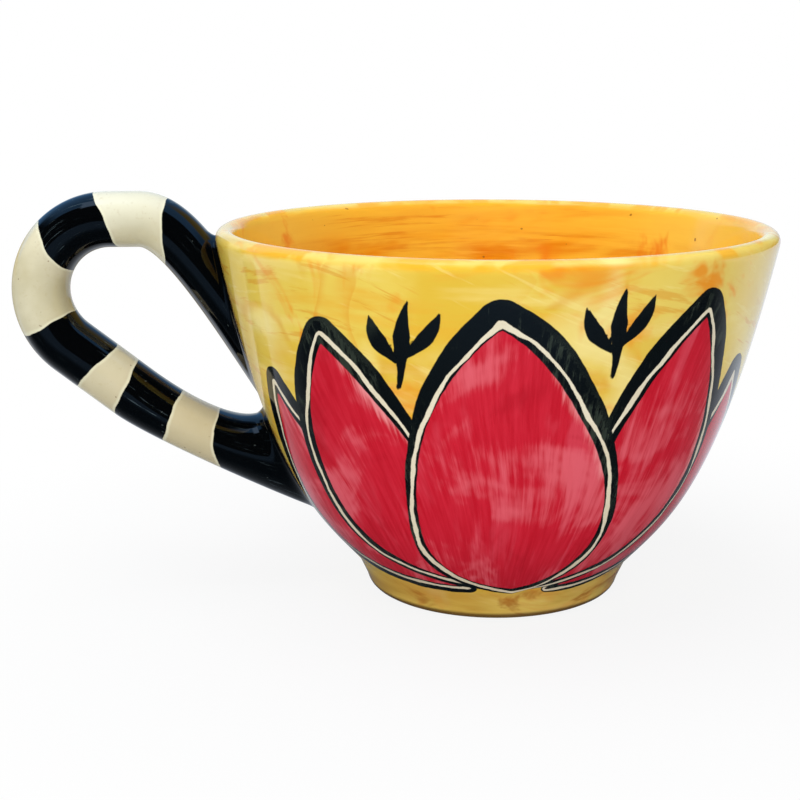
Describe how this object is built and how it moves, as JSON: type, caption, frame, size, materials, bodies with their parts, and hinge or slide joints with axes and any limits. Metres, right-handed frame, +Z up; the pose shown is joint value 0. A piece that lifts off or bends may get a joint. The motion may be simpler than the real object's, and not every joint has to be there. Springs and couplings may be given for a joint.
{
  "type": "ceramic cup",
  "caption": "Wide glazed ceramic breakfast cup with a turned foot, a tapering bowl and a round looped handle that rises above the lip.",
  "frame": {"origin": "centre of the foot, on the plane that the cup rests on", "axes": "+Z up along the cup's axis, -X towards the handle, and the handle's plane is XZ"},
  "size_m": [0.171, 0.125, 0.0908],
  "materials": {
    "glazed_clay": "hand painted under a clear gloss glaze: ochre yellow outside, orange inside, crimson and black painting, black and cream striped handle"
  },
  "bodies": {
    "root": {"cup": "glazed_clay"}
  },
  "joints": []
}
